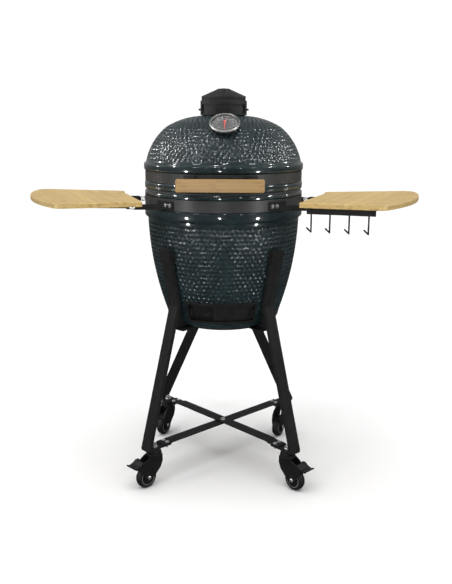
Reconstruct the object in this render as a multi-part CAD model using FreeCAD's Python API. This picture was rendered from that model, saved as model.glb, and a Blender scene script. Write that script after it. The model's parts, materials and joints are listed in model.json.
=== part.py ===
import FreeCAD, Part
import math
import os

# A kamado ceramic grill on a four-legged cart with casters, side shelves and tool hooks.
# Millimetres. X to the right, the front faces -Y, Z up.
# The origin is on the floor, straight below the axis of the ceramic shell.

Vector = FreeCAD.Vector
UP = Vector(0, 0, 1)
ORIGIN = Vector(0, 0, 0)
CLEARANCE = 0.3            # gap left between bodies that move past each other
PIN_FIT = 0.05             # radial running clearance of a pin in its hole
SEAT = 0.1                 # gap between a ceramic piece and the band round it

# ---------------------------------------------------------------- ceramic base
WALL = 25.0
BASE_BOTTOM_Z = 520.0
BASE_FLAT_R = 158.0
BASE_HEEL = (190.0, 551.0)
BASE_BELLY = (231.0, 698.0)
BASE_SHOULDER = (250.4, 871.0)
BASE_FLANGE_R = 260.0
BASE_FLANGE_Z = (873.0, 906.0)
BASE_BAND_Z = (906.0, 942.0)
BASE_RIM_R = 259.0
BASE_RIM_Z = 958.0
GASKET_TOP_Z = 959.7

# ---------------------------------------------------------------- ceramic lid
LID_RIM_Z = 962.0
LID_RIM_R = 259.0
LID_BAND_Z = (988.0, 1020.0)
LID_FLANGE_R = 261.0
LID_FLANGE_Z = (1022.0, 1048.0)
DOME_FOOT = (253.5, 1050.0)
DOME_SHOULDER = (228.5, 1111.0)
DOME_CROWN_EDGE = (186.0, 1158.0)
DOME_CROWN = (133.0, 1182.0)
DOME_TOP = (66.0, 1193.0)
CHIMNEY_R = 52.0
LID_WALL = 22.0

# ---------------------------------------------------------------- steel bands
BAND_THICK = 2.0
BASE_BAND_R = 257.5        # inner radius of the base band
LID_BAND_R = 255.5         # inner radius of the lid band

# ---------------------------------------------------------------- draft door
# (angles are in degrees from the front)
DOOR_Z = (543.0, 614.0)
FRAME_HALF_ANGLE = 32.5
FRAME_LIP = 8.0            # height of the top and bottom rails
FRAME_R = 192.0            # radius of the door's sliding face, halfway up
DOOR_LEAN = 0.33           # how far the door moves outwards for each millimetre of height
DRAFT_HOLE_ANGLES = (-26.0, 4.0)
SCREEN_ANGLES = (-30.5, 5.0)
SHUTTER_ANGLES = (-8.0, 30.5)
PULL_INSET = 1.7           # from the end of a slider to the middle of its grip

# ---------------------------------------------------------------- fire parts
FIREBOX_Z = (545.0, 762.0)
FIRERING_Z = (762.0, 921.0)
CHARCOAL_GRATE_Z = 641.3
GRILL_Z = 921.05
GRILL_R = 222.0

# ---------------------------------------------------------------- cart
CASTER_XY = 220.0          # swivel axes at the corners of a square
LEG_XY = 241.0             # the bottom ends of the legs stand outside the swivel axes
FOOT_Z = (127.0, 132.0)    # foot plate, between the caster and the leg
FOOT_REACH = 62.0          # of the foot plate, inwards from the swivel axis
TUBE_WIDE = 40.0
TUBE_DEEP = 14.0
PAD_TALL = 36.0
ARM_TOP = (250.0, 777.0)   # inner face of the leg's upper part: radius and height
ARM_BEND = (214.0, 596.0)
FRONT_ARM_ANGLE = 42.5     # from the front centre line
REAR_ARM_ANGLE = 10.5      # from the rear centre line
CRADLE_R = (112.0, 152.0)
CRADLE_Z = (512.0, 519.8)
BRACE_WIDE = 40.0
BRACE_THICK = 4.0
BRACE_BOLT_R = 3.0
BRACE_BOLT_Y = 9.8         # the two bolts at each end stand side by side

# ---------------------------------------------------------------- casters
WHEEL_R = 36.0
WHEEL_WIDE = 25.0
CASTER_TRAIL = 34.0
AXLE_R = 4.0
KINGPIN_R = 5.0
FORK_TOP_Z = 111.7
FORK_GAP = 14.0            # half the distance between the fork's cheeks
FORK_PLATE = 3.5
PEDAL_PIN = (48.0, 82.0)   # along the trail, and height
PEDAL_PIN_R = 2.5

# ---------------------------------------------------------------- shelves
SHELF_Z = (925.0, 940.0)
SHELF_PIVOT_X = 276.0
SHELF_PIVOT_Z = 915.5
ARM_Y_FRONT = -188.0
ARM_Y_REAR = 66.0
SHELF_ARM_TALL = 14.0
SHELF_ARM_THICK = 5.0
ARM_REACH = ((ARM_Y_FRONT, 500.0), (ARM_Y_REAR, 560.0))
RAIL_START = (258.0, -266.0)
RAIL_RUN = (246.0, -68.0)  # direction of the board's front edge
RAIL_LONG = 204.0
RAIL_TALL = 18.0
HOOK_PLACES = (14.0, 70.0, 127.0, 184.0)
HOOK_WIRE_R = 2.5
HOOK_DROP = 53.0
HOOK_TIP = (-12.5, 12.0)   # from the hook's lowest point

# ---------------------------------------------------------------- lid hinge
HINGE_Y = 301.0
HINGE_Z = 965.0
HINGE_PIN_R = 5.0

# ---------------------------------------------------------------- thermometer
THERMO_LEAN = 54.0         # elevation of the dial's normal, degrees
THERMO_SEAT = Vector(10.0, -184.0, 1160.5)
THERMO_R = 46.0
THERMO_DEEP = 16.5

# ---------------------------------------------------------------- chimney cap
CAP_R = 75.3
CAP_EAVE_R = 71.5
CAP_Z = (1194.5, 1240.0, 1245.5, 1252.5, 1279.0)
CAP_WALL = 4.0


# ================================================================ helpers
def save(node, *solids):
    """Write one node's solids to its own STEP file."""
    shape = solids[0] if len(solids) == 1 else Part.makeCompound(list(solids))
    shape.exportStep("parts/" + node + ".step")


def lathe(edges, start_angle=0.0, sweep=360.0):
    """Turn a closed outline, given as edges in the XZ half plane, about the Z axis."""
    face = Part.Face(Part.Wire(Part.__sortEdges__(edges)))
    face.rotate(ORIGIN, UP, start_angle)
    return face.revolve(ORIGIN, UP, sweep)


def at(r, z):
    return Vector(r, 0, z)


def line(a, b):
    return Part.LineSegment(at(*a), at(*b)).toShape()


def arc(a, b, c):
    return Part.Arc(at(*a), at(*b), at(*c)).toShape()


def path(*points):
    """Straight edges through (r, z) points."""
    return [line(a, b) for a, b in zip(points, points[1:])]


def ring(r_in, r_out, z_low, z_high, start_angle=0.0, sweep=360.0):
    corners = [(r_in, z_low), (r_out, z_low), (r_out, z_high), (r_in, z_high), (r_in, z_low)]
    return lathe(path(*corners), start_angle, sweep)


def sector(r_in, r_out, z_low, z_high, angle_low, angle_high):
    """A piece of a ring; its angles are measured from the front, positive to the right."""
    return ring(r_in, r_out, z_low, z_high, angle_low - 90.0, angle_high - angle_low)


def cylinder(r, length, base, axis=UP):
    return Part.makeCylinder(r, length, Vector(*base), Vector(*axis))


def box(x, y, z):
    """A box from its (low, high) extents."""
    size = (x[1] - x[0], y[1] - y[0], z[1] - z[0])
    return Part.makeBox(*size, Vector(x[0], y[0], z[0]))


def prism(points, direction):
    """Extrude a closed flat outline of 3-D points along a vector."""
    return Part.Face(Part.makePolygon(list(points) + [points[0]])).extrude(direction)


def turned(shape, degrees, about=ORIGIN, axis=UP):
    copy = shape.copy()
    copy.rotate(about, axis, degrees)
    return copy


def moved(shape, x, y, z):
    copy = shape.copy()
    copy.translate(Vector(x, y, z))
    return copy


def mirrored(shape):
    """The same piece on the other side of the grill."""
    return shape.mirror(ORIGIN, Vector(1, 0, 0))


def fused(*shapes):
    return shapes[0].multiFuse(list(shapes[1:])).removeSplitter()


def without(shape, *tools):
    return shape.cut(list(tools))


def rounded(shape, radius, chosen):
    """Round the edges whose midpoints pass a test."""
    edges = []
    for edge in shape.Edges:
        middle = edge.valueAt(0.5 * (edge.FirstParameter + edge.LastParameter))
        if chosen(middle, edge):
            edges.append(edge)
    return shape.makeFillet(radius, edges)


def bolt(across_flats, head, r, length, base, axis):
    """A hex bolt: the head stands on base and points along axis, the shank goes the other way."""
    corner = across_flats / math.sqrt(3.0)
    corners = [Vector(corner * math.cos(k * math.pi / 3), corner * math.sin(k * math.pi / 3), 0)
               for k in range(6)]
    hexagon = prism(corners, Vector(0, 0, head))
    dome = Part.makeSphere(across_flats * 1.05, Vector(0, 0, head - across_flats * 0.98))
    washer = Part.makeCylinder(across_flats * 0.66, 1.2)
    piece = fused(hexagon.common(dome), washer)
    if length:
        piece = fused(piece, Part.makeCylinder(r, length, ORIGIN, Vector(0, 0, -1)))
    piece.Placement = FreeCAD.Placement(Vector(*base), FreeCAD.Rotation(UP, Vector(*axis)))
    return piece


# ================================================================ ceramic shell, bands and gaskets
def base_shell():
    inner_band_r = BASE_BAND_R - SEAT
    flange_low, flange_high = BASE_FLANGE_Z
    outside = path((0, BASE_BOTTOM_Z), (BASE_FLAT_R, BASE_BOTTOM_Z))
    outside += [arc((BASE_FLAT_R, BASE_BOTTOM_Z), (180.0, 528.0), BASE_HEEL)]
    outside += [arc(BASE_HEEL, BASE_BELLY, BASE_SHOULDER)]
    outside += path(BASE_SHOULDER, (BASE_FLANGE_R - 4, flange_low), (BASE_FLANGE_R, flange_low + 4),
                    (BASE_FLANGE_R, flange_high - 3), (inner_band_r, flange_high - 0.2),
                    (inner_band_r, BASE_BAND_Z[1]), (BASE_RIM_R, BASE_BAND_Z[1] + 2),
                    (BASE_RIM_R, BASE_RIM_Z - 4), (BASE_RIM_R - 4, BASE_RIM_Z),
                    (BASE_RIM_R - WALL, BASE_RIM_Z), (BASE_RIM_R - WALL, flange_low))
    inside = [arc((BASE_RIM_R - WALL, flange_low), (BASE_BELLY[0] - WALL, 706.0),
                  (BASE_HEEL[0] - WALL, 562.0))]
    inside += path((BASE_HEEL[0] - WALL, 562.0), (146.0, BASE_BOTTOM_Z + WALL),
                   (0, BASE_BOTTOM_Z + WALL), (0, BASE_BOTTOM_Z))
    hole = sector(130.0, 230.0, DOOR_Z[0] + 13, DOOR_Z[1] - 13, *DRAFT_HOLE_ANGLES)
    edge = FRAME_HALF_ANGLE + 0.4
    seat = door_block(-4.0, 40.0, DOOR_Z[0] - 1, DOOR_Z[1] + 1, -edge, edge)
    return without(lathe(outside + inside), hole, seat)


def lid_shell():
    band_r = LID_BAND_R - SEAT
    flange_low, flange_high = LID_FLANGE_Z
    outline = path((LID_RIM_R - WALL, LID_RIM_Z), (LID_RIM_R - 4, LID_RIM_Z), (LID_RIM_R, LID_RIM_Z + 4),
                   (LID_RIM_R, LID_BAND_Z[0] - 4), (band_r, LID_BAND_Z[0] - 0.2),
                   (band_r, LID_BAND_Z[1] + 0.2), (LID_FLANGE_R, flange_low + 2),
                   (LID_FLANGE_R, flange_high - 6), (DOME_FOOT[0] + 1, flange_high), DOME_FOOT)
    outline += [arc(DOME_FOOT, DOME_SHOULDER, DOME_CROWN_EDGE)]
    outline += [arc(DOME_CROWN_EDGE, DOME_CROWN, DOME_TOP)]
    crown_inside = (CHIMNEY_R, DOME_TOP[1] - LID_WALL)
    foot_inside = (LID_RIM_R - WALL, 1045.0)
    outline += path(DOME_TOP, (CHIMNEY_R, DOME_TOP[1]), crown_inside)
    outline += [arc(crown_inside, (186.0, 1127.0), foot_inside)]
    outline += path(foot_inside, (LID_RIM_R - WALL, LID_RIM_Z))
    normal = thermometer_axis()
    hole = Part.makeCylinder(5.0, 80.0, THERMO_SEAT - normal * 60.0, normal)
    seat = Part.makeCylinder(30.0, 40.0, THERMO_SEAT - normal * 0.3, normal)
    return without(lathe(outline), hole, seat)


def steel_band(r, z_low, z_high):
    """A rolled strip, drawn together by the hinge bracket at the back."""
    return ring(r, r + BAND_THICK, z_low, z_high)


# ================================================================ fire parts inside the base
def fire_box():
    low, high = FIREBOX_Z
    outline = path((34, low), (140, low), (152, low + 12), (198, high), (180, high), (172, high - 40),
                   (139, low + 96), (128, low + 40), (34, low + 22), (34, low))
    bowl = lathe(outline)
    side, top = DRAFT_HOLE_ANGLES
    air_slot = sector(100.0, 230.0, low + 24, low + 60, side, top)
    vents = []
    for k in range(8):
        out = polar(22.5 + 45.0 * k, 1.0)
        vents.append(cylinder(7, 90, (120 * out[0], 120 * out[1], CHARCOAL_GRATE_Z + 50), (*out, 0)))
    return without(bowl, air_slot, *vents)


def fire_ring():
    low, high = FIRERING_Z
    outline = path((181, low), (199, low), (207, high), (188, high), (181, low))
    return lathe(outline)


def charcoal_grate():
    disc = cylinder(139, 10, (0, 0, CHARCOAL_GRATE_Z))
    tools = []
    for r, count in ((30, 6), (60, 12), (90, 18), (118, 24)):
        for k in range(count):
            a = 2 * math.pi * k / count
            tools.append(cylinder(6.5, 14, (r * math.cos(a), r * math.sin(a), CHARCOAL_GRATE_Z - 2)))
    tools.append(cylinder(8, 14, (0, 0, CHARCOAL_GRATE_Z - 2)))
    return without(disc, *tools)


def cooking_grate():
    rim_r, rod_r, pitch = 4.0, 2.5, 20.0
    rim = Part.makeTorus(GRILL_R, rim_r, Vector(0, 0, GRILL_Z + rim_r))
    pieces = [rim]
    for k in range(-10, 11):
        half = math.sqrt(GRILL_R ** 2 - (k * pitch) ** 2)
        pieces.append(cylinder(rod_r, 2 * half, (k * pitch, -half, GRILL_Z + rim_r + 1), (0, 1, 0)))
    for y in (-110.0, 110.0):
        half = math.sqrt(GRILL_R ** 2 - y ** 2)
        pieces.append(cylinder(3.0, 2 * half, (-half, y, GRILL_Z + 3.0), (1, 0, 0)))
    return pieces[0].multiFuse(pieces[1:])


# ================================================================ draft door
def door_r(z):
    """Radius of the door's sliding face at a height; the door leans out with the shell."""
    return FRAME_R + DOOR_LEAN * (z - 0.5 * (DOOR_Z[0] + DOOR_Z[1]))


def door_block(depth_in, depth_out, z_low, z_high, angle_low, angle_high):
    """A piece of the leaning door between two depths from its sliding face."""
    low, high = door_r(z_low), door_r(z_high)
    outline = path((low + depth_in, z_low), (low + depth_out, z_low), (high + depth_out, z_high),
                   (high + depth_in, z_high), (low + depth_in, z_low))
    return lathe(outline, angle_low - 90.0, angle_high - angle_low)


def draft_frame():
    low, high = DOOR_Z
    back, front = -3.5, 12.0
    a = FRAME_HALF_ANGLE
    plate = door_block(back, back + 2.0, low, high, -a, a)
    window = door_block(back - 5, back + 5, low + 12, high - 12, *DRAFT_HOLE_ANGLES)
    rails = [door_block(back, front, low, low + 4, -a, a),
             door_block(back, front, high - 4, high, -a, a),
             door_block(front - 2.0, front, low, low + FRAME_LIP, -a, a),
             door_block(front - 2.0, front, high - FRAME_LIP, high, -a, a)]
    ends = [door_block(back, front, low, high, -a, -a + 1.5), door_block(back, front, low, high, a - 1.5, a)]
    return without(fused(plate, *rails, *ends), window)


def draft_frame_screws():
    """Round-headed screws in the four corners of the frame's rails."""
    screws = []
    for side in (-1, 1):
        for z in (DOOR_Z[0] + 4.0, DOOR_Z[1] - 4.0):
            a = math.radians(side * (FRAME_HALF_ANGLE - 3.5))
            out = Vector(math.sin(a), -math.cos(a), 0)
            normal = (out - UP * DOOR_LEAN).normalize()
            head = rounded(cylinder(4.0, 2.4, ORIGIN), 1.8, lambda m, e: m.z > 2.0)
            seat = out * (door_r(z) + 12.02) + UP * z
            head.Placement = FreeCAD.Placement(seat, FreeCAD.Rotation(UP, normal))
            screws.append(head)
    return screws


def slider(depth_in, depth_out, angles):
    return door_block(depth_in, depth_out, DOOR_Z[0] + 4 + CLEARANCE, DOOR_Z[1] - 4 - CLEARANCE, *angles)


def pull(angle, depth):
    """A small grip standing out of a slider, leaning with it."""
    a = math.radians(angle)
    out = Vector(math.sin(a), -math.cos(a), 0)
    z_mid = 0.5 * (DOOR_Z[0] + DOOR_Z[1])
    grip = box((-3.0, 3.0), (-12.0, 0.0), (-15.0, 15.0))
    grip = rounded(grip, 2.5, lambda m, e: m.y < -11.0)
    grip.rotate(ORIGIN, Vector(1, 0, 0), math.degrees(math.atan(DOOR_LEAN)))
    grip.rotate(ORIGIN, UP, angle)
    grip.translate(out * (door_r(z_mid) + depth) + Vector(0, 0, z_mid))
    return grip


def draft_screen():
    depth = -1.2
    panel = slider(depth, depth + 1.5, SCREEN_ANGLES)
    tools = []
    for row in range(9):
        z = DOOR_Z[0] + 15.5 + row * 5.0
        r = door_r(z) + depth - 3
        for k in range(15):
            a = math.radians(SCREEN_ANGLES[0] + 7.6 + k * 1.75)
            out = (math.sin(a), -math.cos(a), 0)
            tools.append(cylinder(1.55, 8.0, (r * out[0], r * out[1], z), out))
    panel = panel.cut(Part.makeCompound(tools))
    return fused(panel, pull(SCREEN_ANGLES[0] + PULL_INSET, depth + 0.7))


def draft_shutter():
    depth = 1.0 + CLEARANCE
    panel = slider(depth, depth + 4.0, SHUTTER_ANGLES)
    return fused(panel, pull(SHUTTER_ANGLES[1] - PULL_INSET, depth + 3.0))


# ================================================================ thermometer
def thermometer_axis():
    lean = math.radians(THERMO_LEAN)
    return Vector(0, -math.cos(lean), math.sin(lean))


def placed_on_dial(shape, depth=0.0):
    """Move a piece made about the Z axis to the dial's seat, depth above it along the normal."""
    normal = thermometer_axis()
    spin = FreeCAD.Rotation(Vector(1, 0, 0), 90.0 - THERMO_LEAN)
    copy = shape.copy()
    copy.Placement = FreeCAD.Placement(THERMO_SEAT + normal * depth, spin)
    return copy


def thermometer_case():
    r, deep = THERMO_R, THERMO_DEEP
    outline = path((0, 0), (28, 0), (32, 3), (r - 3, 7), (r - 1, 9), (r, 11), (r, deep - 2), (r - 1.5, deep),
                   (r - 4, deep), (r - 5.5, deep - 4), (r - 5.5, deep - 8), (0, deep - 8), (0, 0))
    stem = cylinder(3.5, 70, (0, 0, -69.5))
    nut = ring(3.5, 10, -36, -30)
    return [placed_on_dial(fused(lathe(outline), stem)), placed_on_dial(nut)]


def thermometer_dial():
    hub_hole = cylinder(1.2 + PIN_FIT, 4, (0, 0, THERMO_DEEP - 9))
    disc = cylinder(THERMO_R - 5.6, 1.2, (0, 0, THERMO_DEEP - 7.95))
    return placed_on_dial(without(disc, hub_hole))


def thermometer_glass():
    return placed_on_dial(cylinder(THERMO_R - 5.6, 1.5, (0, 0, THERMO_DEEP - 2.4)))


def thermometer_needle():
    """A tapered pointer with a round tail on a small spindle; at rest it points low and left."""
    z0 = THERMO_DEEP - 6.4
    spindle = cylinder(1.2, 2.5, (0, 0, THERMO_DEEP - 7.9))
    blade = prism([Vector(-1.6, 0, z0), Vector(-0.5, -30, z0), Vector(0.5, -30, z0), Vector(1.6, 0, z0)],
                  Vector(0, 0, 0.8))
    hub = cylinder(4.0, 2.0, (0, 0, z0))
    tail = box((-1.0, 1.0), (0.0, 12.0), (z0, z0 + 0.8))
    disc = cylinder(4.5, 0.8, (0, 13.5, z0))
    needle = fused(spindle, blade, hub, tail, disc)
    needle.rotate(ORIGIN, UP, -30.0)
    return placed_on_dial(needle)


# ================================================================ lid fittings
def handle_bar():
    bar = box((-131, 131), (-305, -284), (972, 1010))
    bar = rounded(bar, 5.0, lambda m, e: abs(abs(m.x) - 131) < 1)
    return rounded(bar, 2.5, lambda m, e: abs(m.x) < 1 and e.Length > 200)


def handle_posts():
    """Two cast posts, each with a foot bent to the lid band."""
    posts = []
    r = LID_BAND_R + BAND_THICK
    for side in (-1, 1):
        x = side * 92.0
        angle = math.degrees(math.asin(x / r))
        foot = sector(r, r + 4, 991, 1017, angle - 4.5, angle + 4.5)
        stem = box((x - 7, x + 7), (-284, -238), (992, 1004)).cut(cylinder(r + 1, 80, (0, 0, 960)))
        posts.append(fused(foot, stem))
    return posts


def chimney_base():
    """The casting bolted on the dome's mouth: a flange, and a collar with four windows."""
    collar_r = CAP_R - CAP_WALL - CLEARANCE
    low = DOME_TOP[1] + 0.1
    skirt = ring(CHIMNEY_R - 4, CHIMNEY_R - 1, low - 20, low + 3)
    flange = ring(CHIMNEY_R - 4, collar_r, low, low + 3)
    collar = ring(collar_r - 3.5, collar_r, low, CAP_Z[1] - 1)
    windows = [turned(box((-26, 26), (-90, -40), (1200, 1228)), 90 * k) for k in range(4)]
    return fused(skirt, flange, collar.cut(windows))


def chimney_cap():
    """The turning cap: a drum with four windows that pass over the collar's, under a pitched roof."""
    z_low, z_step, z_groove, z_eave, z_top = CAP_Z
    inner = CAP_R - CAP_WALL
    outline = path((inner, z_low), (CAP_R, z_low), (CAP_R, z_step - 1), (CAP_R - 1, z_step),
                   (CAP_EAVE_R, z_step + 1), (CAP_EAVE_R, z_groove - 1), (CAP_EAVE_R - 1, z_groove),
                   (CAP_EAVE_R, z_groove + 1), (CAP_EAVE_R, z_eave), (13, z_top - 1), (0, z_top),
                   (0, z_top - 5), (12, z_top - 6), (inner, z_step), (inner, z_low))
    drum = lathe(outline)
    windows = [turned(box((-26, 26), (-90, -40), (1200, 1228)), 45 + 90 * k) for k in range(4)]
    recesses = [turned(box((-26, 26), (-90, -CAP_R + 3.2), (1200, 1228)), 180 * k) for k in range(2)]
    ribs = []
    rise, run = z_top - 1 - z_eave, CAP_EAVE_R - 13
    for k in range(4):
        for x in (-3.4, 1.6):
            side = [Vector(x, -CAP_EAVE_R, z_groove + 2), Vector(x, -CAP_EAVE_R, z_eave),
                    Vector(x, -CAP_EAVE_R - 0.6, z_eave + 1.0), Vector(x, -14, z_eave + rise + 1.0),
                    Vector(x, -14, z_eave), Vector(x, -CAP_EAVE_R + 3, z_groove + 2)]
            rib = prism(side, Vector(1.8, 0, 0)).cut(cylinder(inner - 8, 30, (0, 0, z_low)))
            ribs.append(turned(rib, 90 * k))
    keep_out = lathe(path((0, z_low), (inner, z_low), (inner, z_step), (12, z_top - 6), (0, z_top - 6),
                          (0, z_low)))
    studs = [cylinder(3.2, 8, (side * (CAP_R - 2), 0, 1212), (side, 0, 0)) for side in (-1, 1)]
    studs = [rounded(s, 1.5, lambda m, e: abs(m.x) > CAP_R + 5) for s in studs]
    cap = without(drum, *windows, *recesses)
    return fused(cap, *ribs, *studs).cut(keep_out)


# ================================================================ rear hinge
def hinge_plate(r, z_low, z_high, ear_x, hole_r):
    """A plate bent to a band, with two ears reaching back to the hinge pin."""
    plate = sector(r, r + 4, z_low, z_high, 165, 195)
    ears = []
    for x in ear_x:
        z_mid = 0.5 * (z_low + z_high)
        tall = 0.5 * (z_high - z_low) - 2
        side = [Vector(x, r - 12, z_mid - tall), Vector(x, HINGE_Y, HINGE_Z - 10),
                Vector(x, HINGE_Y, HINGE_Z + 10), Vector(x, r - 12, z_mid + tall)]
        ear = prism(side, Vector(5, 0, 0))
        knuckle = cylinder(10, 5, (x, HINGE_Y, HINGE_Z), (1, 0, 0))
        ears.append(fused(ear, knuckle))
    body = fused(plate, *ears)
    pin_hole = cylinder(hole_r, 140, (-70, HINGE_Y, HINGE_Z), (1, 0, 0))
    rim_room = cylinder(LID_RIM_R + CLEARANCE, LID_BAND_Z[0] - BASE_BAND_Z[1], (0, 0, BASE_BAND_Z[1]))
    return without(body, pin_hole, rim_room, cylinder(r, 200, (0, 0, z_low - 60)))


def hinge_bracket():
    return hinge_plate(BASE_BAND_R + BAND_THICK, 908, 940, (-45, 40), HINGE_PIN_R)


def hinge_arm():
    return hinge_plate(LID_BAND_R + BAND_THICK, 990, 1018, (-36, 31), HINGE_PIN_R + PIN_FIT)


def hinge_pin():
    pin = cylinder(HINGE_PIN_R, 100, (-50, HINGE_Y, HINGE_Z), (1, 0, 0))
    head = cylinder(8, 3, (-50, HINGE_Y, HINGE_Z), (-1, 0, 0))
    clip = cylinder(8, 3, (50, HINGE_Y, HINGE_Z), (1, 0, 0))
    return fused(pin, head, clip)


def hinge_springs():
    """Two closed-coil helpers round the pin, between the lid's arms."""
    springs = []
    wire_r, coil_r, pitch, turns = 1.6, 8.5, 3.6, 6
    for x in (-28.5, 5.5):
        helix = Part.makeHelix(pitch, pitch * turns, coil_r)
        circle = Part.Wire(Part.makeCircle(wire_r, Vector(coil_r, 0, 0), Vector(0, 1, 0)))
        coil = Part.Wire(helix).makePipeShell([circle], True, True)
        coil.rotate(ORIGIN, Vector(0, 1, 0), 90)
        springs.append(moved(coil, x, HINGE_Y, HINGE_Z))
    return springs


# ================================================================ cart frame
def polar(angle, r):
    """Plan position at an angle from the front centre line, positive to the right."""
    a = math.radians(angle)
    return r * math.sin(a), -r * math.cos(a)


def loft_between(low, high, wide, deep, angle):
    """A bar of rectangular section between two points, its wide face turned to an angle."""
    a = math.radians(angle)
    across = Vector(math.cos(a), math.sin(a), 0)
    out = Vector(math.sin(a), -math.cos(a), 0)
    rings = []
    for point in (low, high):
        corners = [Vector(*point) + across * (sx * wide / 2) + out * (sy * deep / 2)
                   for sx, sy in ((-1, -1), (1, -1), (1, 1), (-1, 1))]
        rings.append(Part.makePolygon(corners + [corners[0]]))
    return Part.makeLoft(rings, True, True)


def leg(arm_angle, corner_x, corner_y):
    """One leg: a flat tube, bent where it leaves the shell, and the foot plate it stands on."""
    foot_angle = math.degrees(math.atan2(corner_x, -corner_y))
    tube_angle = foot_angle if abs(arm_angle) < 90 else math.copysign(180.0, arm_angle)
    half = TUBE_DEEP / 2
    top = (*polar(arm_angle, ARM_TOP[0] + half), ARM_TOP[1])
    bend = (*polar(arm_angle, ARM_BEND[0] + half), ARM_BEND[1])
    bend_low = (*polar(arm_angle, ARM_BEND[0] + half), ARM_BEND[1] + 1)
    end = (math.copysign(LEG_XY, corner_x), math.copysign(LEG_XY, corner_y), FOOT_Z[1] - 1)
    upper = loft_between(bend, top, TUBE_WIDE, TUBE_DEEP, arm_angle)
    lower = loft_between(end, bend_low, TUBE_WIDE, TUBE_DEEP, tube_angle)
    plate = turned(foot_plate(), foot_angle)
    shell_room = lathe(path((0, 600), (ARM_BEND[0] - 6, 600), (ARM_BEND[0] - 14, 560), (176, 512), (0, 512),
                            (0, 600)))
    return without(fused(upper, lower, plate), shell_room)


def foot_plate():
    """The flat foot of a leg, with holes for the kingpin and the two brace bolts."""
    stem_r = CASTER_XY * math.sqrt(2)
    outer = LEG_XY * math.sqrt(2) + TUBE_DEEP / 2 + 2
    plate = box((-TUBE_WIDE / 2, TUBE_WIDE / 2), (-outer, -stem_r + FOOT_REACH), FOOT_Z)
    plate = rounded(plate, 6.0, lambda m, e: abs(m.z - sum(FOOT_Z) / 2) < 0.1)
    below = FOOT_Z[0] - 5
    holes = [cylinder(KINGPIN_R, 20, (0, -stem_r, below))]
    for x in (-BRACE_BOLT_Y, BRACE_BOLT_Y):
        holes.append(cylinder(BRACE_BOLT_R, 20, (x, -brace_bolt_r(), below)))
    return without(plate, *holes)


def legs():
    c = CASTER_XY
    return {"front_left": leg(-FRONT_ARM_ANGLE, -c, -c), "front_right": leg(FRONT_ARM_ANGLE, c, -c),
            "rear_left": leg(-180 + REAR_ARM_ANGLE, -c, c), "rear_right": leg(180 - REAR_ARM_ANGLE, c, c)}


def arm_pads():
    """Rubber caps over the tops of the four legs; they bear on the glazed shell."""
    pads = []
    for angle in (-FRONT_ARM_ANGLE, FRONT_ARM_ANGLE, 180 - REAR_ARM_ANGLE, 180 + REAR_ARM_ANGLE):
        half = TUBE_DEEP / 2
        lean = (ARM_TOP[0] - ARM_BEND[0]) / (ARM_TOP[1] - ARM_BEND[1])
        low = (*polar(angle, ARM_TOP[0] - PAD_TALL * lean + half - 2), ARM_TOP[1] - PAD_TALL)
        high = (*polar(angle, ARM_TOP[0] + 4 * lean + half - 2), ARM_TOP[1] + 4)
        block = loft_between(low, high, TUBE_WIDE + 6, TUBE_DEEP + 10, angle)
        bar_top = (*polar(angle, ARM_TOP[0] + half), ARM_TOP[1])
        bend = (*polar(angle, ARM_BEND[0] + half), ARM_BEND[1])
        slot = loft_between(bend, bar_top, TUBE_WIDE, TUBE_DEEP, angle)
        pads.append(block.cut([slot, base_envelope()]))
    return pads


def base_envelope():
    """The outside of the base, with its seat gap, to trim the pieces that bear on it."""
    gap = 0.15
    heel, belly, shoulder = [(p[0] + gap, p[1]) for p in (BASE_HEEL, BASE_BELLY, BASE_SHOULDER)]
    edges = [line((0, heel[1]), heel), arc(heel, belly, shoulder), line(shoulder, (0, shoulder[1])),
             line((0, shoulder[1]), (0, heel[1]))]
    return lathe(edges)


def cradle():
    """The ring under the shell, with a gusset out to each leg."""
    z_low, z_high = CRADLE_Z
    body = [ring(CRADLE_R[0], CRADLE_R[1], z_low, z_high)]
    angles = (-FRONT_ARM_ANGLE, FRONT_ARM_ANGLE, 180 - REAR_ARM_ANGLE, 180 + REAR_ARM_ANGLE)
    room = lathe([line((0, z_high), (BASE_FLAT_R + 3, z_high)),
                  arc((BASE_FLAT_R + 3, z_high), (183, 527), (BASE_HEEL[0] + 4, BASE_HEEL[1])),
                  line((BASE_HEEL[0] + 4, BASE_HEEL[1]), (210, 594)), line((210, 594), (0, 594)),
                  line((0, 594), (0, z_high))])
    leg_solids = list(legs().values())
    for angle in angles:
        plate = prism([Vector(-3, -CRADLE_R[0] - 10, z_low), Vector(-3, -CRADLE_R[0] - 10, z_high - 1),
                       Vector(-3, -226, 584), Vector(-3, -228, 580), Vector(-3, -242, 528),
                       Vector(-3, -240, z_low + 8)], Vector(6, 0, 0))
        plate.rotate(ORIGIN, UP, angle)
        tab = sector(CRADLE_R[1] - 8, 212, z_low, z_low + 5, angle - 7, angle + 7)
        body += [plate, tab]
    return without(fused(*body), room, *leg_solids)


def brace_bolt_r():
    """Distance from the centre to the bolts that join a bar to a foot plate."""
    return CASTER_XY * math.sqrt(2) - FOOT_REACH + 14


def brace_bar(level):
    """One flat bar of the cross brace on two foot plates; the upper one is cranked over the lower."""
    end = CASTER_XY * math.sqrt(2) - 26
    low, high = FOOT_Z[1], FOOT_Z[1] + level * BRACE_THICK
    foot, ramp = end - 44, end - 56
    below = [(-end, low), (-foot, low), (-ramp, high), (ramp, high), (foot, low), (end, low)]
    above = [(x, z + BRACE_THICK) for x, z in reversed(below)]
    outline = [Vector(x, -BRACE_WIDE / 2, z) for x, z in below + above]
    bar = prism(outline, Vector(0, BRACE_WIDE, 0))
    spots = [(0, 0)] + [(sx * brace_bolt_r(), sy * BRACE_BOLT_Y) for sx in (-1, 1) for sy in (-1, 1)]
    holes = [cylinder(BRACE_BOLT_R, 30, (x, y, FOOT_Z[0] - 5)) for x, y in spots]
    return turned(without(bar, *holes), 45 + 90 * level)


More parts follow.
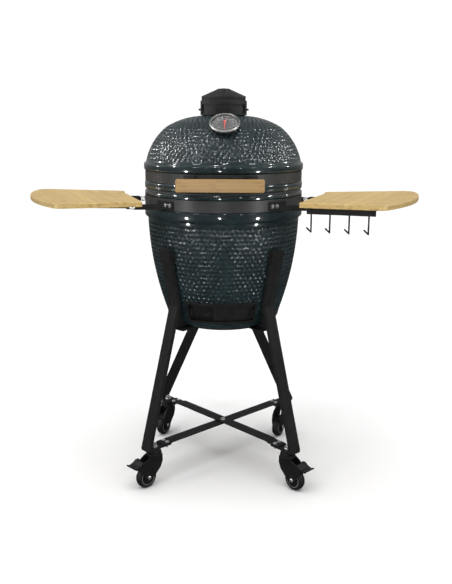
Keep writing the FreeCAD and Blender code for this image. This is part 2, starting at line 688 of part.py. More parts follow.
def frame_bolts():
    """Zinc hex bolts of the cross brace, two at each foot and one in the middle, and the caster nuts."""
    top, under = FOOT_Z[1] + BRACE_THICK, FOOT_Z[0]
    middle = bolt(13, 5, BRACE_BOLT_R, 2 * BRACE_THICK + 8, (0, 0, top + BRACE_THICK), (0, 0, 1))
    middle_nut = without(bolt(13, 5, BRACE_BOLT_R, 0, (0, 0, FOOT_Z[1]), (0, 0, -1)),
                         cylinder(BRACE_BOLT_R, 20, (0, 0, FOOT_Z[1] - 10)))
    bolts = [middle, middle_nut]
    stem_r = CASTER_XY * math.sqrt(2)
    for k in range(4):
        corner = 45 + 90 * k
        for y in (-BRACE_BOLT_Y, BRACE_BOLT_Y):
            screw = bolt(10, 4, BRACE_BOLT_R, BRACE_THICK + 14, (brace_bolt_r(), y, top), (0, 0, 1))
            nut = bolt(10, 4, BRACE_BOLT_R, 0, (brace_bolt_r(), y, under), (0, 0, -1))
            nut = without(nut, cylinder(BRACE_BOLT_R, 20, (brace_bolt_r(), y, under - 10)))
            bolts += [turned(screw, corner), turned(nut, corner)]
        hex_nut = bolt(18, 9, KINGPIN_R, 0, (stem_r, 0, FOOT_Z[1]), (0, 0, 1))
        hex_nut = without(hex_nut, cylinder(KINGPIN_R, 30, (stem_r, 0, FOOT_Z[1] - 5)))
        bolts.append(turned(hex_nut, corner))
    return bolts


# ================================================================ casters
# Side of the square in X and Y, and the heading of the trail in degrees.
CORNERS = {"front_left": (-1, -1, 225.0), "front_right": (1, -1, 315.0),
           "rear_left": (-1, 1, 245.0), "rear_right": (1, 1, 245.0)}
BRAKED = ("front_left", "front_right")


def caster_stem(x, y):
    """A threaded kingpin through the foot plate, and the rivet head that carries the fork."""
    pin = cylinder(KINGPIN_R, FOOT_Z[1] + 14 - 95, (x, y, 95))
    rivet = cylinder(8, 3.2, (x, y, FORK_TOP_Z - 8 - CLEARANCE - 3.2))
    return fused(pin, rivet)


def caster_raceway(x, y):
    """The fixed ball race under a foot plate: a cup, a groove and a dust skirt."""
    low, high = FORK_TOP_Z + CLEARANCE, FOOT_Z[0]
    outline = path((KINGPIN_R, low), (20, low), (24.5, low + 1.5), (25, low + 4), (22.5, low + 5),
                   (20.5, low + 6.5), (20.5, low + 7.5), (22.5, low + 8.5), (23, high - 3.5),
                   (22, high - 2.5), (19.5, high - 1.8), (19.5, high), (KINGPIN_R, high), (KINGPIN_R, low))
    return moved(lathe(outline), x, y, 0)


def caster_fork(braked):
    """Made with its swivel axis on Z and the wheel trailing along +X."""
    axle_x, wide = CASTER_TRAIL, 2 * (FORK_GAP + FORK_PLATE)
    crown = cylinder(26, 9, (0, 0, FORK_TOP_Z - 9))
    crown = rounded(crown, 3.0, lambda m, e: m.z > FORK_TOP_Z - 1 and e.Length > 20)
    side = [(-22, FORK_TOP_Z - 3), (20, FORK_TOP_Z - 3), (40, 98), (54, 84), (58, 66), (54, 48), (44, 28),
            (24, 27), (4, 44), (-14, 62), (-23, 82)]
    cheeks = []
    for y in (-FORK_GAP - FORK_PLATE, FORK_GAP):
        cheek = prism([Vector(px, y, pz) for px, pz in side], Vector(0, FORK_PLATE, 0))
        cheek = rounded(cheek, 7.0, lambda m, e: abs(e.Length - FORK_PLATE) < 0.01)
        cheeks.append(fused(cheek, across(11.5, y, FORK_PLATE, axle_x, WHEEL_R)))
    hood = across(WHEEL_R + 7, -wide / 2, wide, axle_x, WHEEL_R)
    hollow = across(WHEEL_R + 3.5, -wide / 2 - 1, wide + 2, axle_x, WHEEL_R)
    kept = [(-30, 62), (-30, 120), (90, 120), (90, 84), (axle_x, 62)]
    above = prism([Vector(px, -wide, pz) for px, pz in kept], Vector(0, 2 * wide, 0))
    hood = hood.cut(hollow).common(above)
    bridge = box((-20, 22), (-FORK_GAP - 1, FORK_GAP + 1), (FORK_TOP_Z - 9, FORK_TOP_Z - 3))
    fork = fused(crown, bridge, hood, *cheeks)
    tools = [across(WHEEL_R + 3.0, -FORK_GAP, 2 * FORK_GAP, axle_x, WHEEL_R),
             across(AXLE_R, -wide / 2 - 10, wide + 20, axle_x, WHEEL_R),
             cylinder(KINGPIN_R + PIN_FIT, 40, (0, 0, 85)), cylinder(9, 16, (0, 0, FORK_TOP_Z - 8 - 16))]
    if braked:
        tools.append(across(PEDAL_PIN_R + PIN_FIT, -wide / 2 - 10, wide + 20, *PEDAL_PIN))
    return without(fork, *tools)


def across(r, y, length, x, z):
    """A cylinder along the caster's axle."""
    return Part.makeCylinder(r, length, Vector(x, y, z), Vector(0, 1, 0))


def caster_axle():
    wide = FORK_GAP + FORK_PLATE
    shank = cylinder(AXLE_R, 2 * wide, (CASTER_TRAIL, -wide, WHEEL_R), (0, 1, 0))
    head = bolt(12, 4, 3.9, 1, (CASTER_TRAIL, wide, WHEEL_R), (0, 1, 0))
    nut = bolt(12, 4, 3.9, 1, (CASTER_TRAIL, -wide, WHEEL_R), (0, -1, 0))
    return fused(shank, head, nut)


def caster_wheel():
    half = WHEEL_WIDE / 2
    bore = AXLE_R + PIN_FIT
    outline = path((bore, -half), (12, -half), (13.5, -half + 3), (24, -half + 3),
                   (25.5, -half + 0.5), (WHEEL_R - 4, -half + 0.5))
    outline += [arc((WHEEL_R - 4, -half + 0.5), (WHEEL_R, 0), (WHEEL_R - 4, half - 0.5))]
    outline += path((WHEEL_R - 4, half - 0.5), (25.5, half - 0.5), (24, half - 3), (13.5, half - 3),
                    (12, half), (bore, half), (bore, -half))
    wheel = lathe(outline)
    wheel.rotate(ORIGIN, Vector(1, 0, 0), 90)
    return moved(wheel, CASTER_TRAIL, 0, WHEEL_R)


def brake_pedal():
    """A hooded foot lever over the front of the wheel, turning on a pin through the fork's cheeks."""
    inner = FORK_GAP + FORK_PLATE + CLEARANCE + 0.2
    side = [(38, 74), (40, 88), (49, 98), (60, 98), (72, 90), (84, 86), (96, 90), (96, 86), (85, 81),
            (74, 78), (66, 66), (60, 56), (52, 60), (42, 66)]
    cover = [(57, 98), (60, 98), (72, 90), (84, 86), (96, 90), (96, 86), (85, 81), (72, 86.5), (60, 94)]
    plates = []
    for y in (-inner - 3, inner):
        plate = prism([Vector(px, y, pz) for px, pz in side], Vector(0, 3, 0))
        plates.append(rounded(plate, 1.2, lambda m, e: abs(e.Length - 3) < 0.01))
    plates.append(prism([Vector(px, -inner - 3, pz) for px, pz in cover], Vector(0, 2 * inner + 6, 0)))
    pin = across(PEDAL_PIN_R, -inner - 4.5, 2 * inner + 9, *PEDAL_PIN)
    return fused(*plates, pin)


def placed_caster(shape, corner):
    sx, sy, heading = CORNERS[corner]
    copy = turned(shape, heading)
    return moved(copy, sx * CASTER_XY, sy * CASTER_XY, 0)


# ================================================================ shelves, built for the right-hand side
def shelf_board():
    z_low, z_high = SHELF_Z
    tip, near = Vector(232, -268, z_low), Vector(478, -336, z_low)
    far, root, waist = Vector(655, 152, z_low), Vector(345, 90, z_low), Vector(341, 44, z_low)
    edges = [Part.LineSegment(tip, near).toShape(),
             Part.Arc(near, Vector(590, -168, z_low), Vector(655, 62, z_low)).toShape(),
             Part.LineSegment(Vector(655, 62, z_low), far).toShape(),
             Part.LineSegment(far, root).toShape(), Part.LineSegment(root, waist).toShape(),
             Part.LineSegment(waist, tip).toShape()]
    board = Part.Face(Part.Wire(edges)).extrude(Vector(0, 0, z_high - z_low))
    corner_radii = ((tip, 9.0), (near, 24.0), (far, 34.0), (root, 10.0))
    for corner, radius in corner_radii:
        board = rounded(board, radius, lambda m, e: math.hypot(m.x - corner.x, m.y - corner.y) < 0.5)
    return rounded(board, 2.0, lambda m, e: abs(m.z - z_high) < 0.1 or abs(m.z - z_low) < 0.1)


def shelf_arms():
    """Two steel bars under the board, each turning on its bracket's pin."""
    arms = []
    for y, reach in ARM_REACH:
        top = SHELF_Z[0]
        bar = box((SHELF_PIVOT_X + 14, reach), (y, y + SHELF_ARM_THICK), (top - SHELF_ARM_TALL, top))
        eye = cylinder(8, SHELF_ARM_THICK, (SHELF_PIVOT_X, y, SHELF_PIVOT_Z), (0, 1, 0))
        root = box((SHELF_PIVOT_X, SHELF_PIVOT_X + 20), (y, y + SHELF_ARM_THICK),
                   (SHELF_PIVOT_Z - 7, SHELF_PIVOT_Z + 7))
        lip = box((SHELF_PIVOT_X + 70, reach), (y, y + 22), (top - 2, top))
        hole = cylinder(4 + PIN_FIT, 30, (SHELF_PIVOT_X, y - 5, SHELF_PIVOT_Z), (0, 1, 0))
        arms.append(without(fused(bar, eye, root, lip), hole))
    return arms


def shelf_screws():
    """Pan-head wood screws up through the arms' lips into the board."""
    screws = []
    for y, reach in ARM_REACH:
        for x in (SHELF_PIVOT_X + 90, reach - 20):
            head = cylinder(4.5, 2.2, (x, y + 14, SHELF_Z[0] - 4.2))
            screws.append(rounded(head, 1.0, lambda m, e: m.z < SHELF_Z[0] - 4))
    return screws


def shelf_brackets():
    """Plates bent round the base band, each with a forked ear for the arm's pin."""
    brackets = []
    r = BASE_BAND_R + BAND_THICK
    z_low, z_high = BASE_BAND_Z[0] + 2, BASE_BAND_Z[1] - 6
    for y, plate_from, plate_to in ((ARM_Y_FRONT, 34.0, 49.5), (ARM_Y_REAR, 98.0, 122.0)):
        plate = sector(r, r + 4, z_low, z_high, plate_from, plate_to)
        ears = []
        for side_y in (y - 4.5 - CLEARANCE, y + SHELF_ARM_THICK + CLEARANCE):
            start = math.sqrt((r + 1) ** 2 - min(abs(side_y), r - 20) ** 2)
            bar = box((start, SHELF_PIVOT_X), (side_y, side_y + 4.5), (SHELF_PIVOT_Z - 8, SHELF_PIVOT_Z + 8))
            eye = cylinder(8, 4.5, (SHELF_PIVOT_X, side_y, SHELF_PIVOT_Z), (0, 1, 0))
            ears.append(fused(bar, eye))
        hole = cylinder(4, 60, (SHELF_PIVOT_X, y - 30, SHELF_PIVOT_Z), (0, 1, 0))
        body = fused(plate, *ears)
        brackets.append(without(body, hole, cylinder(r, 80, (0, 0, 880))))
    return brackets


def shelf_pins():
    """Zinc pins with hex heads; the shelf folds down round them."""
    pins = []
    for y in (ARM_Y_FRONT, ARM_Y_REAR):
        front = y - 4.5 - CLEARANCE
        long = SHELF_ARM_THICK + 9 + 2 * CLEARANCE
        shank = cylinder(4, long, (SHELF_PIVOT_X, front, SHELF_PIVOT_Z), (0, 1, 0))
        head = bolt(13, 5, 3.9, 1, (SHELF_PIVOT_X, front, SHELF_PIVOT_Z), (0, -1, 0))
        nut = bolt(13, 5, 3.9, 1, (SHELF_PIVOT_X, front + long, SHELF_PIVOT_Z), (0, 1, 0))
        pins.append(fused(shank, head, nut))
    return pins


def tool_rail():
    """A flat rail under the front edge of the right-hand board."""
    top = SHELF_Z[0]
    rail = box((0, RAIL_LONG), (-4, 0), (top - RAIL_TALL, top))
    lip = box((0, RAIL_LONG), (-4, 16), (top - 2.5, top))
    rail = turned(fused(rail, lip), math.degrees(math.atan2(RAIL_RUN[1], RAIL_RUN[0])))
    return moved(rail, *RAIL_START, 0)


def tool_hooks():
    """Four wire hooks hanging under the rail, each with its end bent up sharply."""
    hooks = []
    slope = math.atan2(RAIL_RUN[1], RAIL_RUN[0])
    top = SHELF_Z[0] - RAIL_TALL
    low = Vector(0, 0, top - HOOK_DROP)
    tip = low + Vector(HOOK_TIP[0], 0, HOOK_TIP[1])
    for along in HOOK_PLACES:
        x = RAIL_START[0] + along * math.cos(slope) + 2 * math.sin(slope)
        y = RAIL_START[1] + along * math.sin(slope) - 2 * math.cos(slope)
        stem = Part.makeCylinder(HOOK_WIRE_R, HOOK_DROP, low)
        bent = Part.makeCylinder(HOOK_WIRE_R, (tip - low).Length, low, tip - low)
        ends = [Part.makeSphere(HOOK_WIRE_R, spot) for spot in (low, tip)]
        hooks.append(moved(fused(stem, bent, *ends), x, y, 0))
    return hooks


# ================================================================ bolts on the bands
def base_band_bolts():
    """Cap bolts of the shelf brackets and of the rear hinge plate."""
    bolts = []
    for angle in (36.3, 40.3, 109.0, 118.5, 168.0, 192.0, -36.3, -40.3, -109.0, -118.5):
        a = math.radians(angle)
        out = (math.sin(a), -math.cos(a), 0)
        r = BASE_BAND_R + BAND_THICK + 4
        bolts.append(bolt(11, 5, 0, 0, (r * out[0], r * out[1], 922), out))
    return bolts


def lid_band_bolts():
    bolts = []
    for angle in (168.0, 192.0):
        a = math.radians(angle)
        out = (math.sin(a), -math.cos(a), 0)
        r = LID_BAND_R + BAND_THICK + 4
        bolts.append(bolt(11, 5, 0, 0, (r * out[0], r * out[1], 1004), out))
    return bolts


# ================================================================ write every node
def main():
    os.makedirs("parts", exist_ok=True)
    rim_in = BASE_RIM_R - WALL
    save("base_shell", base_shell())
    save("base_band", steel_band(BASE_BAND_R, *BASE_BAND_Z))
    save("base_gasket", ring(rim_in + 2, BASE_RIM_R - 4.5, BASE_RIM_Z, GASKET_TOP_Z))
    save("fire_box", fire_box())
    save("fire_ring", fire_ring())
    save("charcoal_grate", charcoal_grate())
    save("cooking_grate", cooking_grate())
    save("draft_frame", draft_frame())
    save("draft_frame_screws", *draft_frame_screws())
    save("draft_screen", draft_screen())
    save("draft_shutter", draft_shutter())

    save("lid_shell", lid_shell())
    save("lid_band", steel_band(LID_BAND_R, *LID_BAND_Z))
    save("lid_gasket", ring(rim_in + 2, LID_RIM_R - 4.5, GASKET_TOP_Z + CLEARANCE, LID_RIM_Z))
    save("handle_bar", handle_bar())
    save("handle_posts", *handle_posts())
    save("thermometer_case", *thermometer_case())
    save("thermometer_dial", thermometer_dial())
    save("thermometer_glass", thermometer_glass())
    save("thermometer_needle", thermometer_needle())
    save("chimney_base", chimney_base())
    save("chimney_cap", chimney_cap())

    save("hinge_bracket", hinge_bracket())
    save("hinge_arm", hinge_arm())
    save("hinge_pin", hinge_pin())
    save("hinge_springs", *hinge_springs())
    save("base_band_bolts", *base_band_bolts())
    save("lid_band_bolts", *lid_band_bolts())

    for name, solid in legs().items():
        save("leg_" + name, solid)
    save("arm_pads", *arm_pads())
    save("cradle", cradle())
    save("brace_bar_lower", brace_bar(0))
    save("brace_bar_upper", brace_bar(1))
    save("frame_bolts", *frame_bolts())

    stems = [caster_stem(sx * CASTER_XY, sy * CASTER_XY) for sx, sy, _ in CORNERS.values()]
    save("caster_stems", *stems)
    raceways = [caster_raceway(sx * CASTER_XY, sy * CASTER_XY) for sx, sy, _ in CORNERS.values()]
    save("caster_raceways", *raceways)
    for corner in CORNERS:
        fork = placed_caster(caster_fork(corner in BRAKED), corner)
        save("caster_fork_" + corner, fork, placed_caster(caster_axle(), corner))
        save("caster_wheel_" + corner, placed_caster(caster_wheel(), corner))
    for corner in BRAKED:
        save("brake_pedal_" + corner, placed_caster(brake_pedal(), corner))

    right = {"shelf_board": [shelf_board()], "shelf_arms": shelf_arms(), "shelf_screws": shelf_screws(),
             "shelf_brackets": shelf_brackets()}
    for name, solids in right.items():
        save(name + "_right", *solids)
        save(name + "_left", *[mirrored(s) for s in solids])
    pins = shelf_pins()
    save("shelf_pins", *pins, *[mirrored(p) for p in pins])
    save("tool_rail", tool_rail())
    save("tool_hooks", *tool_hooks())


main()
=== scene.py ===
"""A kamado grill on its cart: materials, dimpled shells, dial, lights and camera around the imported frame."""

import json
import math
import random

import bmesh
import bpy
import numpy as np
from mathutils import Matrix, Vector


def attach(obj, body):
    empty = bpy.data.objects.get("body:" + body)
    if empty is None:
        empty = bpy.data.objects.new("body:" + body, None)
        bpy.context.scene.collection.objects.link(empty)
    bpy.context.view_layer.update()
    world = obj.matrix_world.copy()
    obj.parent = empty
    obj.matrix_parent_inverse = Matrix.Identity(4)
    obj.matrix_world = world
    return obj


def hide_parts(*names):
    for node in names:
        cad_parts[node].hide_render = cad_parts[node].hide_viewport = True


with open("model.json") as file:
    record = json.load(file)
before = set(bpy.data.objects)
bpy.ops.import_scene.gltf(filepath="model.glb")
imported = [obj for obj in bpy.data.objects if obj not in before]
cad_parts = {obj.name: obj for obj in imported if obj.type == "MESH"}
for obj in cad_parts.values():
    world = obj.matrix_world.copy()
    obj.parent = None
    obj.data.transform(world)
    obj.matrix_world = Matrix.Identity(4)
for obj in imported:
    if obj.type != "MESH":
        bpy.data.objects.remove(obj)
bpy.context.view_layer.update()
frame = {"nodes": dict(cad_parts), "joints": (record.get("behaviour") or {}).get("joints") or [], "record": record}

NODES = frame["nodes"]
SLOT_OF = {part["node"]: part["material_slot"] for part in frame["record"]["subparts"]}

# ------------------------------------------------------------------ sizes shared by several pieces
AROUND = 600               # columns of the dimpled shells' meshes
BAND_ROWS = 6              # rows that share one count of dimples, so that they stagger evenly
ROW_GAP = 0.866            # between rows, as a share of the pitch along a row
CORNER_R = 2.2             # the corners of flanges and rims, in millimetres
SHELL_CREASE = math.radians(42.0)
LINED_R = 0.2365           # inside faces are never further from the axis than this, in metres
DIAL_SEAT = Vector((0.010, -0.184, 1.1605))
DIAL_LEAN = math.radians(54.0)      # how far the dial's axis is raised above the horizontal
DIAL_TIP = math.radians(36.0)       # how far the dial's face is tipped up from lying flat
SHELF_TURN = math.radians(68.0)     # the shelf boards' grain against the X axis
STRIP_WIDE, PLY_THICK = 0.0125, 0.0052      # the bamboo's strips, in metres
EDGE_ANGLE = math.radians(38.0)     # edges sharper than this are rounded

# Widths of the rounded edges, in metres, by how the node's name starts.
EDGES = {
    "leg_": 0.0015, "brace_bar": 0.0006, "arm_pads": 0.002, "cradle": 0.0006, "frame_bolts": 0.0004,
    "draft_frame": 0.0005, "draft_shutter": 0.0005, "draft_screen": 0.0003,
    "chimney_cap": 0.0009, "chimney_base": 0.0006, "handle_posts": 0.0008,
    "hinge_bracket": 0.0006, "hinge_arm": 0.0006,
    "shelf_arms": 0.0006, "shelf_brackets": 0.0005, "tool_rail": 0.0006,
    "caster_fork": 0.0004, "caster_raceways": 0.0004, "brake_pedal": 0.0004,
    "base_band": 0.0004, "lid_band": 0.0004, "base_band_bolts": 0.0004,
}

# The caster's axle bolt and bead, in metres from the wheel's middle.
AXLE_R, AXLE_INNER = 0.0072, 0.0176
BEAD_R, BEAD_AWAY, BEAD_THICK = 0.0247, 0.0117, 0.0009
BEAD_STEPS, BEAD_SIDES = 72, 8

# The dial, in millimetres and degrees: the marks lie between two heights over the seat.
MARK_LOW, MARK_HIGH = 9.75, 9.95
SCALE_FROM, SCALE_TO = -135, 135
NUMBER_EVERY = 30

# ------------------------------------------------------------------ studio settings
WORLD_FRONT, WORLD_BACK = 0.12, 0.42     # the room's grey towards the front and towards the back
BACKDROP = 1.05                          # what the camera sees past the floor
SKY_POWER = 2.95
SKY_ANGLE = math.radians(66.0)
# Name, place, aim, size, power, and whether it lights matt surfaces too or only glints in glossy ones.
SOFTBOXES = [
    ("key_left", (-2.0, -2.4, 2.9), (0, 0, 0.8), (0.5, 0.5), 17.0, True),
    ("key_right", (2.2, -2.2, 2.5), (0, 0, 0.9), (0.5, 0.6), 12.0, True),
    ("glint_top", (0.2, -3.2, 2.6), (0, 0, 0.8), (0.2, 0.2), 13.0, False),
    ("glint_over", (-0.3, -1.0, 3.4), (0, 0, 1.0), (0.2, 0.2), 22.0, False),
    ("glint_left", (-1.3, -3.3, 1.7), (0, 0, 0.8), (0.16, 0.16), 10.0, False),
    ("glint_right", (1.5, -3.1, 1.9), (0, 0, 0.8), (0.16, 0.16), 9.0, False),
    ("glint_far_left", (-3.0, -1.1, 1.9), (0, 0, 0.9), (0.22, 0.22), 34.0, False),
    ("glint_far_right", (3.0, -1.1, 1.9), (0, 0, 0.9), (0.22, 0.22), 26.0, False),
    ("glint_side_left", (-3.1, 0.7, 1.7), (0, 0, 0.8), (0.22, 0.22), 30.0, False),
    ("glint_side_right", (3.1, 0.7, 1.7), (0, 0, 0.8), (0.22, 0.22), 24.0, False),
    ("glint_high_left", (-2.2, 0.1, 3.2), (0, 0, 1.1), (0.2, 0.2), 34.0, False),
    ("glint_high_right", (2.2, 0.1, 3.2), (0, 0, 1.1), (0.2, 0.2), 26.0, False),
    ("glint_low", (-0.2, -3.6, 0.5), (0, 0, 0.7), (0.18, 0.18), 14.0, False),
    ("glint_low_left", (-2.5, -2.1, 0.4), (0, 0, 0.7), (0.22, 0.22), 30.0, False),
    ("glint_low_right", (2.5, -2.1, 0.4), (0, 0, 0.7), (0.22, 0.22), 30.0, False),
]
CAMERA_PLACE = (0.0859, -2.5066, 1.1811)
CAMERA_HEADING = Vector((-0.0305, 0.9995, 0.0)).normalized()
CAMERA_DIP = math.radians(12.944)
CAMERA_ROLL = math.radians(0.17)
CAMERA_LENS, CAMERA_SENSOR = 46.28, 36.0


# ------------------------------------------------------------------ materials
class Finish:
    """A Principled material and short calls for the nodes that feed it."""

    def __init__(self, name, **fixed):
        self.material = bpy.data.materials.new(name)
        self.material.use_nodes = True
        self.tree = self.material.node_tree
        self.shader = self.tree.nodes["Principled BSDF"]
        for key, value in fixed.items():
            socket = self.shader.inputs[key.replace("_", " ").title().replace("Ior", "IOR")]
            socket.default_value = (*value, 1.0) if isinstance(value, tuple) else value
        self.coords = self.node("ShaderNodeTexCoord").outputs["Object"]

    def node(self, kind, **settings):
        node = self.tree.nodes.new(kind)
        for key, value in settings.items():
            setattr(node, key, value)
        return node

    def link(self, source, socket):
        self.tree.links.new(source, socket)

    def stretched(self, scale, turn=(0, 0, 0), source=None):
        """The object's coordinates, turned and then scaled."""
        rotate = self.node("ShaderNodeMapping")
        rotate.inputs["Rotation"].default_value = turn
        self.link(source or self.coords, rotate.inputs["Vector"])
        mapping = self.node("ShaderNodeMapping")
        mapping.inputs["Scale"].default_value = scale
        self.link(rotate.outputs[0], mapping.inputs["Vector"])
        return mapping.outputs[0]

    def noise(self, scale, detail=4.0, rough=0.55, distort=0.0, coords=None):
        node = self.node("ShaderNodeTexNoise")
        node.inputs["Scale"].default_value = scale
        node.inputs["Detail"].default_value = detail
        node.inputs["Roughness"].default_value = rough
        node.inputs["Distortion"].default_value = distort
        self.link(coords or self.coords, node.inputs["Vector"])
        return node.outputs["Fac"]

    def cells(self, scale):
        """Distance to the nearest of many scattered points."""
        node = self.node("ShaderNodeTexVoronoi")
        node.inputs["Scale"].default_value = scale
        self.link(self.coords, node.inputs["Vector"])
        return node.outputs["Distance"]

    def ramp(self, source, *stops):
        """Stops are (position, colour or grey)."""
        node = self.node("ShaderNodeValToRGB")
        elements = node.color_ramp.elements
        while len(elements) < len(stops):
            elements.new(0.5)
        for element, (position, value) in zip(elements, stops):
            element.position = position
            element.color = (*value, 1.0) if isinstance(value, tuple) else (value, value, value, 1.0)
        self.link(source, node.inputs["Fac"])
        return node.outputs["Color"]

    def step(self, source, per_metre):
        """Which strip a coordinate falls in: floor(coordinate * strips per metre)."""
        node = self.node("ShaderNodeMath", operation="MULTIPLY")
        node.inputs[1].default_value = per_metre
        self.link(source, node.inputs[0])
        whole = self.node("ShaderNodeMath", operation="FLOOR")
        self.link(node.outputs[0], whole.inputs[0])
        return whole.outputs[0]

    def span(self, source, low, high):
        """Map 0..1 to low..high."""
        node = self.node("ShaderNodeMapRange")
        node.inputs["To Min"].default_value = low
        node.inputs["To Max"].default_value = high
        self.link(source, node.inputs["Value"])
        return node.outputs[0]

    def mix(self, a, b, factor=1.0, how="MULTIPLY"):
        """Two colours, each a tuple or a source, multiplied unless told otherwise."""
        node = self.node("ShaderNodeMix", data_type="RGBA", blend_type=how)
        node.inputs["Factor"].default_value = factor
        for socket, value in ((node.inputs[6], a), (node.inputs[7], b)):
            if isinstance(value, tuple):
                socket.default_value = (*value, 1.0)
            else:
                self.link(value, socket)
        return node.outputs[2]

    def colour(self, source):
        self.link(source, self.shader.inputs["Base Color"])

    def roughness(self, source, low, high):
        self.link(self.span(source, low, high), self.shader.inputs["Roughness"])

    def bump(self, *layers):
        """Each layer is (height source, distance in metres, strength)."""
        previous = None
        for source, distance, strength in layers:
            node = self.node("ShaderNodeBump")
            node.inputs["Distance"].default_value = distance
            node.inputs["Strength"].default_value = strength
            self.link(source, node.inputs["Height"])
            if previous:
                self.link(previous, node.inputs["Normal"])
            previous = node.outputs[0]
        self.link(previous, self.shader.inputs["Normal"])


def glaze():
    """Dark blue-green glaze: pools of deeper colour, fine specks and a glassy top coat."""
    f = Finish("glaze", specular_ior_level=0.1, coat_weight=0.8, coat_roughness=0.06, coat_ior=1.45)
    pools = f.ramp(f.noise(11.0, 6.0, 0.6), (0.3, (0.009, 0.019, 0.0215)), (0.7, (0.018, 0.033, 0.037)))
    break_up = f.ramp(f.noise(95.0, 3.0), (0.42, 0.8), (0.66, 1.25))
    specks = f.ramp(f.cells(520.0), (0.0, (0.06, 0.085, 0.09)), (0.14, (0.0, 0.0, 0.0)))
    f.colour(f.mix(f.mix(pools, break_up), specks, 0.35, "ADD"))
    f.roughness(f.noise(60.0, 4.0), 0.22, 0.42)
    f.bump((f.noise(130.0, 3.0), 0.0006, 0.35), (f.noise(700.0, 2.0), 0.0001, 0.3))
    return f


def painted_steel():
    """Matt black powder coat with its orange-peel skin."""
    f = Finish("frame_paint", specular_ior_level=0.08)
    f.colour(f.ramp(f.noise(38.0, 5.0), (0.3, 0.012), (0.75, 0.019)))
    f.roughness(f.noise(160.0, 4.0), 0.38, 0.56)
    f.bump((f.noise(520.0, 3.0), 0.0003, 0.45), (f.noise(1600.0, 2.0), 0.0001, 0.4))
    return f


def cast_black(name, low, high):
    """Black paint over a sand casting."""
    f = Finish(name, specular_ior_level=0.14)
    f.colour(f.ramp(f.noise(45.0, 6.0), (0.3, low), (0.75, high)))
    f.roughness(f.noise(210.0, 4.0), 0.42, 0.62)
    f.bump((f.noise(330.0, 5.0, 0.65), 0.0009, 0.5), (f.cells(620.0), 0.0003, 0.3))
    return f


def band_steel():
    """Dark satin strip, rolled lengthwise: the grain runs round the band."""
    f = Finish("band_steel", metallic=0.1, specular_ior_level=0.2)
    around = f.stretched((14.0, 14.0, 900.0))
    grain = f.noise(1.0, 5.0, 0.6, coords=around)
    tint = f.ramp(grain, (0.3, (0.034, 0.034, 0.035)), (0.7, (0.056, 0.056, 0.058)))
    f.colour(f.mix(tint, f.ramp(f.noise(22.0, 4.0), (0.35, 0.82), (0.7, 1.15))))
    f.roughness(grain, 0.30, 0.48)
    f.bump((grain, 0.0002, 0.35), (f.noise(420.0, 3.0), 0.0001, 0.25))
    return f


def bright_metal(name, tone, scale, low, high):
    f = Finish(name, metallic=1.0)
    wear = f.noise(scale, 5.0, 0.6)
    f.colour(f.ramp(wear, (0.3, tuple(0.78 * c for c in tone)), (0.7, tone)))
    f.roughness(f.noise(scale * 6.0, 4.0), low, high)
    f.bump((f.noise(scale * 14.0, 3.0), 0.0001, 0.25))
    return f


def turned_stainless():
    """Stainless steel with a fine turned grain and faint handling marks."""
    f = Finish("stainless", metallic=1.0)
    grain = f.noise(1.0, 4.0, coords=f.stretched((60.0, 60.0, 1500.0), (-DIAL_TIP, 0, 0)))
    f.colour(f.ramp(grain, (0.3, (0.30, 0.30, 0.295)), (0.7, (0.44, 0.44, 0.435))))
    f.roughness(f.noise(55.0, 5.0), 0.30, 0.46)
    f.bump((grain, 0.0001, 0.3))
    return f


def bamboo(name, turn, stain):
    """Laminated bamboo: narrow strips glued side by side, each with its own tone, fibres and nodes.

    The strips run along the local X axis after the turn about Z; the stain deepens the whole board."""
    f = Finish(name, specular_ior_level=0.45, coat_weight=0.22, coat_roughness=0.28)
    along = f.stretched((1, 1, 1), (0, 0, turn))
    split = f.node("ShaderNodeSeparateXYZ")
    f.link(along, split.inputs[0])
    across, layer = split.outputs["Y"], split.outputs["Z"]
    strip = f.step(across, 1 / STRIP_WIDE)
    ply = f.step(layer, 1 / PLY_THICK)
    join = f.node("ShaderNodeCombineXYZ")
    f.link(strip, join.inputs["X"])
    f.link(ply, join.inputs["Y"])
    shade = f.node("ShaderNodeTexWhiteNoise", noise_dimensions="3D")
    f.link(join.outputs[0], shade.inputs["Vector"])
    offset = f.node("ShaderNodeVectorMath", operation="MULTIPLY_ADD")
    f.link(shade.outputs["Color"], offset.inputs[0])
    offset.inputs[1].default_value = (3.0, 3.0, 3.0)
    f.link(along, offset.inputs[2])
    fibres = f.noise(1.0, 6.0, 0.62, 0.4, coords=f.stretched((9.0, 420.0, 420.0), source=offset.outputs[0]))
    waves = f.noise(1.0, 3.0, 0.5, 0.8, coords=f.stretched((2.4, 34.0, 34.0), source=offset.outputs[0]))
    tone = f.ramp(shade.outputs["Value"], (0.0, (0.55, 0.385, 0.165)), (0.5, (0.60, 0.43, 0.19)),
                  (1.0, (0.65, 0.475, 0.22)))
    streaks = f.ramp(fibres, (0.30, (0.86, 0.82, 0.75)), (0.62, (1.03, 1.03, 1.02)))
    broad = f.ramp(waves, (0.3, (0.90, 0.87, 0.82)), (0.65, (1.03, 1.03, 1.01)))
    knots = f.node("ShaderNodeTexWave", wave_type="BANDS", bands_direction="X")
    knots.inputs["Scale"].default_value = 1.35
    knots.inputs["Distortion"].default_value = 0.5
    f.link(offset.outputs[0], knots.inputs["Vector"])
    nodes = f.ramp(knots.outputs["Fac"], (0.965, (1, 1, 1)), (0.995, (0.88, 0.81, 0.72)))
    colour = f.mix(f.mix(f.mix(tone, streaks), broad), nodes)
    f.colour(f.mix(colour, stain))
    f.roughness(fibres, 0.34, 0.52)
    f.bump((fibres, 0.0003, 0.35), (knots.outputs["Fac"], 0.0003, 0.06))
    return f


